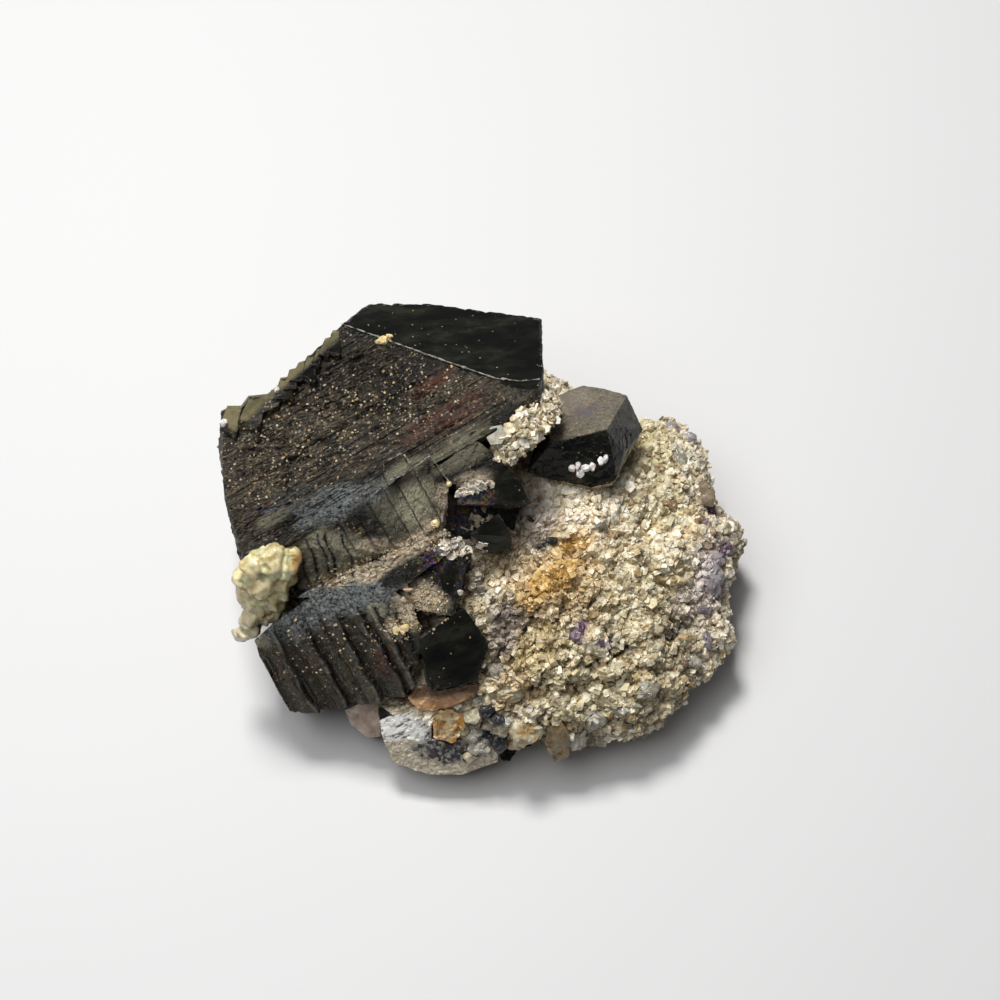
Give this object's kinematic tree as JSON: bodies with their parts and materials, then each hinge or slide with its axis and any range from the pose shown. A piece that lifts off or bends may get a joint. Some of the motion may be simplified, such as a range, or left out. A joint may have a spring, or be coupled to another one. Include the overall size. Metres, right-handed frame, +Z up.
{
  "type": "arsenopyrite specimen",
  "caption": "Mineral specimen: dark stepped metallic arsenopyrite crystals on a lumpy cream mica matrix, resting flat on its underside.",
  "frame": {"origin": "middle of the bounding box in plan, on the table under the specimen", "axes": "+X across to the mica side, +Y to the back (behind the big crystal), +Z up"},
  "size_m": [0.0624, 0.0512, 0.0345],
  "materials": {
    "mica_matrix": "rough",
    "arsenopyrite": "satin",
    "silvery_arsenopyrite": "satin",
    "yellow_crust": "satin",
    "tan_prism": "satin",
    "peach_plate": "rough",
    "orange_stained_crystal": "gloss",
    "brown_quartz": "gloss",
    "tan_grain": "gloss",
    "pink_grain": "gloss",
    "clear_mica": "gloss"
  },
  "bodies": {
    "root": {"mica_matrix": "mica_matrix", "arsenopyrite_cluster": "arsenopyrite", "upper_right_arsenopyrite": "arsenopyrite", "lower_arsenopyrite": "silvery_arsenopyrite", "yellow_crust": "yellow_crust", "tan_prism": "tan_prism", "peach_plate": "peach_plate", "orange_stained_crystal": "orange_stained_crystal", "brown_quartz_grain": "brown_quartz", "tan_edge_grain": "tan_grain", "pink_edge_grain": "pink_grain", "mica_book": "clear_mica"}
  },
  "joints": []
}
